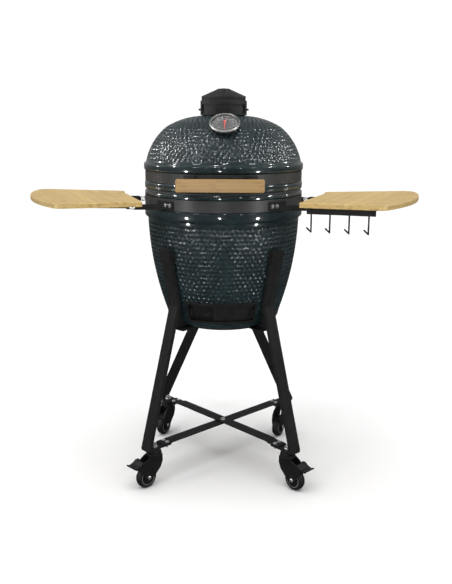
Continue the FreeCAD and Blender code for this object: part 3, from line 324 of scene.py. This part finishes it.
def fire_clay():
    """Coarse, matt refractory with pores and iron specks."""
    f = Finish("fire_clay")
    body = f.ramp(f.noise(14.0, 6.0), (0.3, (0.40, 0.33, 0.25)), (0.7, (0.55, 0.48, 0.38)))
    specks = f.ramp(f.cells(260.0), (0.05, (0.45, 0.36, 0.28)), (0.14, (1.0, 1.0, 1.0)))
    f.colour(f.mix(body, specks))
    f.roughness(f.noise(90.0), 0.75, 0.92)
    f.bump((f.noise(240.0, 6.0), 0.001, 0.5), (f.cells(310.0), 0.0006, 0.3))
    return f


def felt():
    """Charcoal felt strip: matted fibres."""
    f = Finish("felt", sheen_weight=0.4, sheen_roughness=0.6)
    fibres = f.noise(1.0, 6.0, 0.7, 1.2, coords=f.stretched((300.0, 300.0, 700.0)))
    f.colour(f.ramp(fibres, (0.3, 0.010), (0.7, 0.045)))
    f.roughness(fibres, 0.82, 0.97)
    f.bump((fibres, 0.0012, 0.7))
    return f


def moulded(name, low, high, rough_low, rough_high, grain=420.0):
    """Moulded rubber or plastic with a fine spark-eroded skin."""
    f = Finish(name, specular_ior_level=0.15)
    f.colour(f.ramp(f.noise(30.0, 5.0), (0.3, low), (0.75, high)))
    f.roughness(f.noise(140.0, 4.0), rough_low, rough_high)
    f.bump((f.cells(grain), 0.0003, 0.35), (f.noise(grain * 2.0, 3.0), 0.0002, 0.4))
    return f


def lens():
    f = Finish("glass", transmission_weight=1.0, ior=1.12, base_color=(0.96, 0.96, 0.96), roughness=0.02)
    f.roughness(f.noise(40.0, 3.0), 0.01, 0.04)
    return f


def dial_face():
    f = Finish("dial_face")
    f.colour(f.ramp(f.noise(70.0, 4.0), (0.3, (0.014, 0.014, 0.015)), (0.7, (0.022, 0.022, 0.023))))
    f.roughness(f.noise(200.0), 0.4, 0.5)
    f.bump((f.noise(900.0), 0.0001, 0.2))
    return f


def paint(name, tone):
    f = Finish(name)
    f.colour(f.ramp(f.noise(160.0, 4.0), (0.3, tuple(0.88 * c for c in tone)), (0.7, tone)))
    f.roughness(f.noise(300.0), 0.35, 0.5)
    f.bump((f.noise(1100.0), 0.0001, 0.2))
    return f


def all_finishes():
    finishes = {
        "glaze": glaze(), "fire_clay": fire_clay(), "band_steel": band_steel(), "felt": felt(),
        "frame_paint": painted_steel(), "cast_black": cast_black("cast_black", 0.012, 0.024),
        "door_black": cast_black("door_black", 0.010, 0.017), "stainless": turned_stainless(),
        "zinc": bright_metal("zinc", (0.74, 0.74, 0.73), 60.0, 0.22, 0.4),
        "dull_zinc": bright_metal("dull_zinc", (0.20, 0.20, 0.205), 60.0, 0.3, 0.5),
        "bamboo": bamboo("bamboo_bar", 0.0, (0.66, 0.545, 0.34)),
        "bamboo_left": bamboo("bamboo_left", SHELF_TURN, (0.97, 0.95, 0.73)),
        "bamboo_right": bamboo("bamboo_right", -SHELF_TURN, (0.97, 0.95, 0.73)),
        "rubber": moulded("rubber", 0.006, 0.011, 0.55, 0.72),
        "wheel_rubber": moulded("wheel_rubber", 0.009, 0.016, 0.42, 0.6, 520.0),
        "plastic": moulded("plastic", 0.009, 0.015, 0.3, 0.45, 700.0),
        "glass": lens(), "dial_face": dial_face(),
        "needle_red": paint("needle_red", (0.62, 0.045, 0.03)),
        "dial_white": paint("dial_white", (0.42, 0.42, 0.41)),
        "grey_ring": moulded("grey_ring", 0.22, 0.32, 0.42, 0.55),
    }
    return {name: f.material for name, f in finishes.items()}


def dress(obj, material):
    obj.data.materials.clear()
    obj.data.materials.append(material)


# ------------------------------------------------------------------ mesh helpers
def mesh_object(name, verts, faces, material, body, smooth=True):
    mesh = bpy.data.meshes.new(name)
    mesh.from_pydata([tuple(v) for v in verts], [], faces)
    mesh.update()
    obj = bpy.data.objects.new(name, mesh)
    bpy.context.scene.collection.objects.link(obj)
    if smooth:
        mesh.polygons.foreach_set("use_smooth", [True] * len(mesh.polygons))
    dress(obj, material)
    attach(obj, body)
    return obj


def round_edges(obj, width):
    """A small fillet on the sharp edges, so that they catch light."""
    weld = obj.modifiers.new("weld", "WELD")
    weld.merge_threshold = 0.00001
    bevel = obj.modifiers.new("edges", "BEVEL")
    bevel.width = width
    bevel.segments = 2
    bevel.limit_method = "ANGLE"
    bevel.angle_limit = EDGE_ANGLE
    bevel.use_clamp_overlap = True
    shading = obj.modifiers.new("shading", "WEIGHTED_NORMAL")
    shading.keep_sharp = False


# ------------------------------------------------------------------ the dimpled shells
# Profiles of the shells are (radius, height) in millimetres.
def arc_points(a, b, c, count):
    """Points on the circle through a, b and c, from a to c the shorter way."""
    (ax, ay), (bx, by), (cx, cy) = a, b, c
    d = 2 * (ax * (by - cy) + bx * (cy - ay) + cx * (ay - by))
    aa, bb, cc = ax * ax + ay * ay, bx * bx + by * by, cx * cx + cy * cy
    ux = (aa * (by - cy) + bb * (cy - ay) + cc * (ay - by)) / d
    uy = (aa * (cx - bx) + bb * (ax - cx) + cc * (bx - ax)) / d
    r = math.hypot(ax - ux, ay - uy)
    t0, t2 = (math.atan2(p[1] - uy, p[0] - ux) for p in (a, c))
    turn = (t2 - t0 + math.pi) % (2 * math.pi) - math.pi
    return [(ux + r * math.cos(t0 + turn * i / count), uy + r * math.sin(t0 + turn * i / count))
            for i in range(count + 1)]


def even_profile(points, step):
    """The polyline's points respaced evenly, in millimetres, with the length run so far at each."""
    points = np.array(points, float)
    lengths = np.hypot(*np.diff(points, axis=0).T)
    run = np.concatenate([[0.0], np.cumsum(lengths)])
    count = max(2, int(round(run[-1] / step)))
    s = np.linspace(0.0, run[-1], count + 1)
    return np.column_stack([np.interp(s, run, points[:, 0]), np.interp(s, run, points[:, 1])]), s


class Dimples:
    """Shallow round dimples in staggered rows over a curved zone of revolution."""

    def __init__(self, profile, s, pitch, depth, radius, rng):
        self.depth, self.radius = depth, radius
        self.rows = []
        row_gap = pitch * ROW_GAP
        count = int((s[-1] - pitch * 0.6) // row_gap)
        start = 0.5 * (s[-1] - (count - 1) * row_gap)
        for i in range(count):
            at = start + i * row_gap
            if i % BAND_ROWS == 0:
                middle = float(np.interp(at + 0.5 * BAND_ROWS * row_gap, s, profile[:, 0]))
                around = int(round(2 * math.pi * middle / pitch))
            jitter = [(rng.uniform(-0.05, 0.05), rng.uniform(-0.5, 0.5), rng.uniform(0.88, 1.06))
                      for _ in range(around)]
            self.rows.append((at, around, 0.5 * (i % 2), jitter))
        self.row_gap, self.start = row_gap, start

    def dent(self, at, r, angle):
        """How far the surface lies below its envelope at one point, in millimetres."""
        deepest = 0.0
        near = int(round((at - self.start) / self.row_gap))
        for k in (near - 1, near, near + 1):
            if not 0 <= k < len(self.rows):
                continue
            centre, around, shift, jitter = self.rows[k]
            place = angle / (2 * math.pi) * around - shift
            for n in (math.floor(place), math.floor(place) + 1):
                dx, dy, size = jitter[n % around]
                across = (place - n - dx) * 2 * math.pi * r / around
                d = math.hypot(across, at - centre - dy) / (self.radius * size)
                if d < 1.0:
                    deepest = max(deepest, self.depth * size * (1.0 - d * d))
        return deepest


def lathe_mesh(sections):
    """Verts and faces of a closed solid of revolution.

    Each section is (rows of radius and height in millimetres, dent function or None), and the sections
    together make one closed loop."""
    verts, faces = [], []
    rows = 0
    for profile, dent in sections:
        normals = np.gradient(profile, axis=0)
        normals /= np.maximum(np.hypot(*normals.T), 1e-9)[:, None]
        for i, (r, z) in enumerate(profile):
            nr, nz = normals[i][1], -normals[i][0]
            for k in range(AROUND):
                angle = 2 * math.pi * k / AROUND
                depth = dent(i, r, angle) if dent else 0.0
                rr, zz = r - nr * depth, z - nz * depth
                verts.append((0.001 * rr * math.sin(angle), -0.001 * rr * math.cos(angle), 0.001 * zz))
            rows += 1
    for i in range(rows):
        low, high = i * AROUND, ((i + 1) % rows) * AROUND
        for k in range(AROUND):
            m = (k + 1) % AROUND
            faces.append((low + k, low + m, high + m, high + k))
    return verts, faces


def softened(points, radius, steps=2):
    """The open polyline with its inner corners rounded."""
    result = [points[0]]
    for before, corner, after in zip(points, points[1:], points[2:]):
        a, c, b = Vector(before), Vector(corner), Vector(after)
        reach = min(radius, 0.45 * (a - c).length, 0.45 * (b - c).length)
        start, end = c + (a - c).normalized() * reach, c + (b - c).normalized() * reach
        for i in range(steps + 1):
            t = i / steps
            p = start.lerp(c, t).lerp(c.lerp(end, t), t)
            result.append((p.x, p.y))
    result.append(points[-1])
    return result


def sector_solid(name, r_in, r_out, z_low, z_high, a_low, a_high, steps=36):
    """A closed block of revolution, in millimetres and in degrees from the front.

    r_in and r_out are (lower, upper) radii."""
    verts, faces = [], []
    for i in range(steps + 1):
        a = math.radians(a_low + (a_high - a_low) * i / steps)
        for r, z in ((r_in[0], z_low), (r_out[0], z_low), (r_out[1], z_high), (r_in[1], z_high)):
            verts.append((0.001 * r * math.sin(a), -0.001 * r * math.cos(a), 0.001 * z))
    for i in range(steps):
        for k in range(4):
            m = (k + 1) % 4
            faces.append((4 * i + k, 4 * i + m, 4 * i + 4 + m, 4 * i + 4 + k))
    faces += [(3, 2, 1, 0), (4 * steps, 4 * steps + 1, 4 * steps + 2, 4 * steps + 3)]
    return tool_object(name, verts, faces)


def tool_object(name, verts, faces):
    """A bare object with merged vertices and faces that look outwards."""
    mesh = bpy.data.meshes.new(name)
    mesh.from_pydata(verts, [], faces)
    bm = bmesh.new()
    bm.from_mesh(mesh)
    bmesh.ops.remove_doubles(bm, verts=bm.verts, dist=1e-7)
    bmesh.ops.recalc_face_normals(bm, faces=bm.faces)
    bm.to_mesh(mesh)
    bm.free()
    obj = bpy.data.objects.new(name, mesh)
    bpy.context.scene.collection.objects.link(obj)
    return obj


def cut(obj, tools):
    """Take the tools out of the object's mesh for good, and remove them."""
    for tool in tools:
        modifier = obj.modifiers.new("cut", "BOOLEAN")
        modifier.operation = "DIFFERENCE"
        modifier.solver = "EXACT"
        modifier.object = tool
    bpy.context.view_layer.update()
    done = bpy.data.meshes.new_from_object(obj.evaluated_get(bpy.context.evaluated_depsgraph_get()))
    obj.modifiers.clear()
    old, obj.data = obj.data, done
    bpy.data.meshes.remove(old)
    for tool in tools:
        bpy.data.objects.remove(tool)


def finish_shell(obj, material, lining, node, body, inside_z):
    """Glaze outside, bare ceramic on the faces that look at the axis between two heights in metres."""
    mesh = obj.data
    mesh.polygons.foreach_set("use_smooth", [True] * len(mesh.polygons))
    mesh.set_sharp_from_angle(angle=SHELL_CREASE)
    dress(obj, material)
    mesh.materials.append(lining)
    low, high = inside_z
    for face in mesh.polygons:
        r = math.hypot(face.center.x, face.center.y)
        inward = face.normal.x * face.center.x + face.normal.y * face.center.y < -0.15 * r
        if inward and r < LINED_R and low < face.center.z < high:
            face.material_index = 1
    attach(obj, body)
    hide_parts(node)


def dimpled_base(material, lining):
    """The bowl: dimples from the heel to the shoulder, smooth flange and rim, draft opening at the front."""
    rng = random.Random(11)
    heel, _ = even_profile(arc_points((158, 520), (180, 528), (190, 551), 12), 3.4)
    belly, belly_s = even_profile(arc_points((190, 551), (231, 698), (250.4, 871), 60), 2.45)
    rows = Dimples(belly, belly_s, pitch=16.0, depth=2.9, radius=7.4, rng=rng)
    rim = np.array(softened([(250.4, 871), (256, 873), (260, 877), (260, 903), (256.9, 905.8), (256.9, 942),
                             (259, 944), (259, 954), (255, 958), (234, 958), (234, 873)], CORNER_R))
    inside, _ = even_profile(arc_points((234, 873), (206, 706), (165, 562), 20), 16.0)
    floor = np.array([(165, 562), (146, 545), (80, 545), (0, 545), (0, 520), (80, 520), (158, 520)], float)

    def dent(i, r, angle):
        return rows.dent(belly_s[i], r, angle)

    obj = tool_object("glazed_base", *lathe_mesh([(heel[:-1], None), (belly[:-1], dent), (rim[:-1], None),
                                                  (inside[:-1], None), (floor[:-1], None)]))
    seat_middle_r, lean, half_tall = 188, 0.33, 36.5
    seat_r = (seat_middle_r - lean * half_tall, seat_middle_r + lean * half_tall)
    cut(obj, [sector_solid("hole", (130, 130), (230, 230), 556, 601, -26, 4),
              sector_solid("seat", seat_r, (250, 250), 542, 615, -32.9, 32.9, 60)])
    finish_shell(obj, material, lining, "base_shell", "cart", (0.546, 0.955))


def dimpled_lid(material, lining):
    """The dome: dimples from its foot to the chimney, smooth flange and rim."""
    rng = random.Random(23)
    shoulder = arc_points((253.5, 1050), (228.5, 1111), (186, 1158), 40)
    crown = arc_points((186, 1158), (133, 1182), (66, 1193), 30)
    dome, dome_s = even_profile(shoulder + crown[1:], 2.3)
    rows = Dimples(dome, dome_s, pitch=15.0, depth=2.7, radius=7.0, rng=rng)

    def dent(i, r, angle):
        return rows.dent(dome_s[i], r, angle)

    rim = np.array(softened([(236, 962), (255, 962), (259, 966), (259, 984), (254.9, 987.8), (254.9, 1020.2),
                             (261, 1024), (261, 1042), (254.5, 1048), (253.5, 1050)], CORNER_R))
    hole = np.array([(66, 1193), (60, 1193), (52, 1193), (52, 1182), (52, 1171)], float)
    inside, _ = even_profile(arc_points((52, 1171), (186, 1127), (236, 1045), 24), 14.0)
    wall = np.array([(236, 1045), (236, 1010), (236, 962)], float)
    obj = tool_object("glazed_lid", *lathe_mesh([(rim[:-1], None), (dome[:-1], dent), (hole[:-1], None),
                                                 (inside[:-1], None), (wall[:-1], None)]))
    out = Vector((0, -math.cos(DIAL_LEAN), math.sin(DIAL_LEAN)))
    turn = out.to_track_quat("Z", "Y").to_matrix().to_4x4()
    tools = []
    for name, r, low, high in (("stem", 0.005, -0.06, 0.02), ("seat", 0.030, -0.0003, 0.04)):
        bm = bmesh.new()
        bmesh.ops.create_cone(bm, cap_ends=True, segments=48, radius1=r, radius2=r, depth=high - low)
        bmesh.ops.transform(bm, verts=bm.verts,
                            matrix=Matrix.Translation(DIAL_SEAT + out * 0.5 * (low + high)) @ turn)
        mesh = bpy.data.meshes.new(name)
        bm.to_mesh(mesh)
        bm.free()
        tool = bpy.data.objects.new(name, mesh)
        bpy.context.scene.collection.objects.link(tool)
        tools.append(tool)
    cut(obj, tools)
    finish_shell(obj, material, lining, "lid_shell", "lid", (0.964, 1.1715))


# ------------------------------------------------------------------ the dial
def dial_marks(material):
    """Two scale rings, their ticks and a few numbers, laid just above the dial."""
    place = Matrix.Translation(DIAL_SEAT) @ Matrix.Rotation(DIAL_TIP, 4, "X")
    verts, faces = [], []

    def block(r0, r1, a0, a1, steps):
        """A bar between two radii, bent round the dial from angle a0 to a1."""
        first = len(verts)
        for i in range(steps + 1):
            a = math.radians(a0 + (a1 - a0) * i / steps)
            for r, z in ((r0, MARK_LOW), (r1, MARK_LOW), (r1, MARK_HIGH), (r0, MARK_HIGH)):
                verts.append(place @ Vector((0.001 * r * math.sin(a), 0.001 * r * math.cos(a), 0.001 * z)))
        for i in range(steps):
            for k in range(4):
                m = (k + 1) % 4
                p = first + 4 * i
                faces.append((p + k, p + 4 + k, p + 4 + m, p + m))
        p = first + 4 * steps
        faces.extend([(first, first + 1, first + 2, first + 3), (p + 3, p + 2, p + 1, p)])

    block(36.6, 37.3, SCALE_FROM, SCALE_TO, 60)
    block(25.4, 26.0, SCALE_FROM, SCALE_TO, 50)
    for a in range(SCALE_FROM, SCALE_TO + 1, 10):
        if (a - SCALE_FROM) % NUMBER_EVERY == 0:
            block(33.0, 36.6, a - 0.8, a + 0.8, 1)
            block(23.6, 25.4, a - 0.7, a + 0.7, 1)
        else:
            block(34.8, 36.6, a - 0.45, a + 0.45, 1)
    marks = mesh_object("dial_marks", verts, faces, material, "lid", smooth=False)
    texts = []
    height = 0.5 * (MARK_LOW + MARK_HIGH)
    for k in range(10):
        a = math.radians(SCALE_FROM + NUMBER_EVERY * k)
        for r, size, word in ((30.0, 4.6, str(50 + 50 * k)), (20.6, 3.4, str(40 * k))):
            curve = bpy.data.curves.new("number", "FONT")
            curve.body = word
            curve.size = 0.001 * size
            curve.align_x = curve.align_y = "CENTER"
            curve.extrude = 0.00008
            curve.resolution_u = 2
            text = bpy.data.objects.new("number_%d_%d" % (k, int(r)), curve)
            bpy.context.scene.collection.objects.link(text)
            texts.append((text, 0.001 * Vector((r * math.sin(a), r * math.cos(a), height))))
    bpy.context.view_layer.update()
    bm = bmesh.new()
    bm.from_mesh(marks.data)
    graph = bpy.context.evaluated_depsgraph_get()
    for text, spot in texts:
        mesh = bpy.data.meshes.new_from_object(text.evaluated_get(graph))
        mesh.transform(place @ Matrix.Translation(spot))
        bm.from_mesh(mesh)
        bpy.data.meshes.remove(mesh)
        bpy.data.objects.remove(text)
    bm.to_mesh(marks.data)
    bm.free()


# ------------------------------------------------------------------ casters
def bright_axles(zinc):
    """The axle bolts share a node with their forks, and are plated."""
    for node, obj in NODES.items():
        if not node.startswith("caster_fork"):
            continue
        obj.data.materials.append(zinc)
        joint = next(j for j in frame["joints"] if j["child"] == node.replace("caster_fork", "wheel"))
        middle, axis = Vector(joint["pos_m"]), Vector(joint["axis"]).normalized()
        for face in obj.data.polygons:
            offset = face.center - middle
            along = offset.dot(axis)
            if (offset - axis * along).length < AXLE_R and abs(along) > AXLE_INNER:
                face.material_index = 1


def wheel_rings(material):
    """The pale bead between hub and tyre on both sides of each wheel."""
    for joint in frame["joints"]:
        if not joint["child"].startswith("wheel_"):
            continue
        middle, axis = Vector(joint["pos_m"]), Vector(joint["axis"]).normalized()
        turn = axis.to_track_quat("Z", "Y").to_matrix()
        verts, faces = [], []
        for side in (-1, 1):
            first = len(verts)
            for i in range(BEAD_STEPS):
                a = 2 * math.pi * i / BEAD_STEPS
                for k in range(BEAD_SIDES):
                    b = 2 * math.pi * k / BEAD_SIDES
                    r = BEAD_R + BEAD_THICK * math.cos(b)
                    away = side * (BEAD_AWAY + BEAD_THICK * math.sin(b))
                    verts.append(middle + turn @ Vector((r * math.cos(a), r * math.sin(a), away)))
            for i in range(BEAD_STEPS):
                for k in range(BEAD_SIDES):
                    a, b = first + BEAD_SIDES * i, first + BEAD_SIDES * ((i + 1) % BEAD_STEPS)
                    m = (k + 1) % BEAD_SIDES
                    faces.append((a + k, b + k, b + m, a + m) if side > 0 else (a + m, b + m, b + k, a + k))
        mesh_object(joint["child"] + "_bead", verts, faces, material, joint["child"])


# ------------------------------------------------------------------ studio
def backdrop_floor():
    """A pale floor out to the horizon."""
    bm = bmesh.new()
    bmesh.ops.create_grid(bm, x_segments=2, y_segments=2, size=40.0)
    mesh = bpy.data.meshes.new("floor")
    bm.to_mesh(mesh)
    bm.free()
    floor = bpy.data.objects.new("floor", mesh)
    bpy.context.scene.collection.objects.link(floor)
    f = Finish("studio_floor")
    f.colour(f.ramp(f.noise(2.0), (0.2, 0.93), (0.8, 0.95)))
    f.roughness(f.noise(3.0), 0.7, 0.8)
    dress(floor, f.material)
    floor.visible_glossy = False


def room():
    """A plain room, darker in front and below, that the camera itself sees as white."""
    world = bpy.data.worlds.new("studio")
    world.use_nodes = True
    bpy.context.scene.world = world
    nodes, links = world.node_tree.nodes, world.node_tree.links
    walls = nodes["Background"]
    lift = nodes.new("ShaderNodeMapRange")
    lift.inputs["From Min"].default_value = -0.25
    lift.inputs["From Max"].default_value = 0.15
    lift.inputs["To Min"].default_value = 0.12
    coords = nodes.new("ShaderNodeTexCoord")
    split = nodes.new("ShaderNodeSeparateXYZ")
    links.new(coords.outputs["Generated"], split.inputs[0])
    ramp = nodes.new("ShaderNodeValToRGB")
    for element, grey in zip(ramp.color_ramp.elements, (WORLD_FRONT, WORLD_BACK)):
        element.color = (grey, grey, grey, 1)
    shift = nodes.new("ShaderNodeMapRange")
    shift.inputs["From Min"].default_value = -1.0
    links.new(split.outputs["Y"], shift.inputs["Value"])
    links.new(shift.outputs[0], ramp.inputs["Fac"])
    links.new(ramp.outputs["Color"], walls.inputs["Color"])
    links.new(split.outputs["Z"], lift.inputs["Value"])
    links.new(lift.outputs[0], walls.inputs["Strength"])
    clear = nodes.new("ShaderNodeBackground")
    clear.inputs["Color"].default_value = (BACKDROP, BACKDROP, BACKDROP, 1)
    mix = nodes.new("ShaderNodeMixShader")
    path = nodes.new("ShaderNodeLightPath")
    links.new(path.outputs["Is Camera Ray"], mix.inputs[0])
    links.new(walls.outputs[0], mix.inputs[1])
    links.new(clear.outputs[0], mix.inputs[2])
    links.new(mix.outputs[0], nodes["World Output"].inputs["Surface"])


def lamps():
    """Softboxes around the object and a broad sky panel over it."""
    for name, place, aim, size, power, fills in SOFTBOXES:
        data = bpy.data.lights.new(name, "AREA")
        data.shape = "RECTANGLE"
        data.size, data.size_y = size
        data.energy = power
        lamp = bpy.data.objects.new(name, data)
        lamp.location = place
        lamp.rotation_euler = (Vector(aim) - Vector(place)).to_track_quat("-Z", "Y").to_euler()
        lamp.visible_diffuse = fills
        bpy.context.scene.collection.objects.link(lamp)
    sun = bpy.data.lights.new("sky_panel", "SUN")
    sun.energy = SKY_POWER
    sun.angle = SKY_ANGLE
    overhead = bpy.data.objects.new("sky_panel", sun)
    overhead.rotation_euler = (math.radians(8.0), math.radians(-3.0), 0.0)
    overhead.visible_glossy = False
    bpy.context.scene.collection.objects.link(overhead)


def camera():
    """Eye level just under the chimney, a little right of centre, long lens."""
    data = bpy.data.cameras.new("camera")
    data.sensor_width = CAMERA_SENSOR
    data.lens = CAMERA_LENS
    obj = bpy.data.objects.new("camera", data)
    obj.location = CAMERA_PLACE
    look = CAMERA_HEADING * math.cos(CAMERA_DIP) - Vector((0, 0, math.sin(CAMERA_DIP)))
    roll = Matrix.Rotation(CAMERA_ROLL, 3, "Z").to_quaternion()
    obj.rotation_mode = "QUATERNION"
    obj.rotation_quaternion = look.to_track_quat("-Z", "Y") @ roll
    bpy.context.scene.collection.objects.link(obj)
    bpy.context.scene.camera = obj


# ------------------------------------------------------------------ assembly
def main():
    looks = all_finishes()
    for name, obj in NODES.items():
        dress(obj, looks[SLOT_OF[name]])
    bright_axles(looks["zinc"])
    wheel_rings(looks["grey_ring"])
    for name, width in EDGES.items():
        for node, obj in NODES.items():
            if node.startswith(name):
                round_edges(obj, width)
    for node in ("draft_frame", "draft_frame_screws", "draft_screen", "draft_shutter"):
        dress(NODES[node], looks["door_black"])
    dress(NODES["base_band_bolts"], looks["dull_zinc"])
    dress(NODES["shelf_board_left"], looks["bamboo_left"])
    dress(NODES["shelf_board_right"], looks["bamboo_right"])
    dimpled_base(looks["glaze"], looks["fire_clay"])
    dimpled_lid(looks["glaze"], looks["fire_clay"])
    dial_marks(looks["dial_white"])
    backdrop_floor()
    room()
    lamps()
    bpy.context.scene.view_settings.view_transform = "Standard"
    camera()


main()
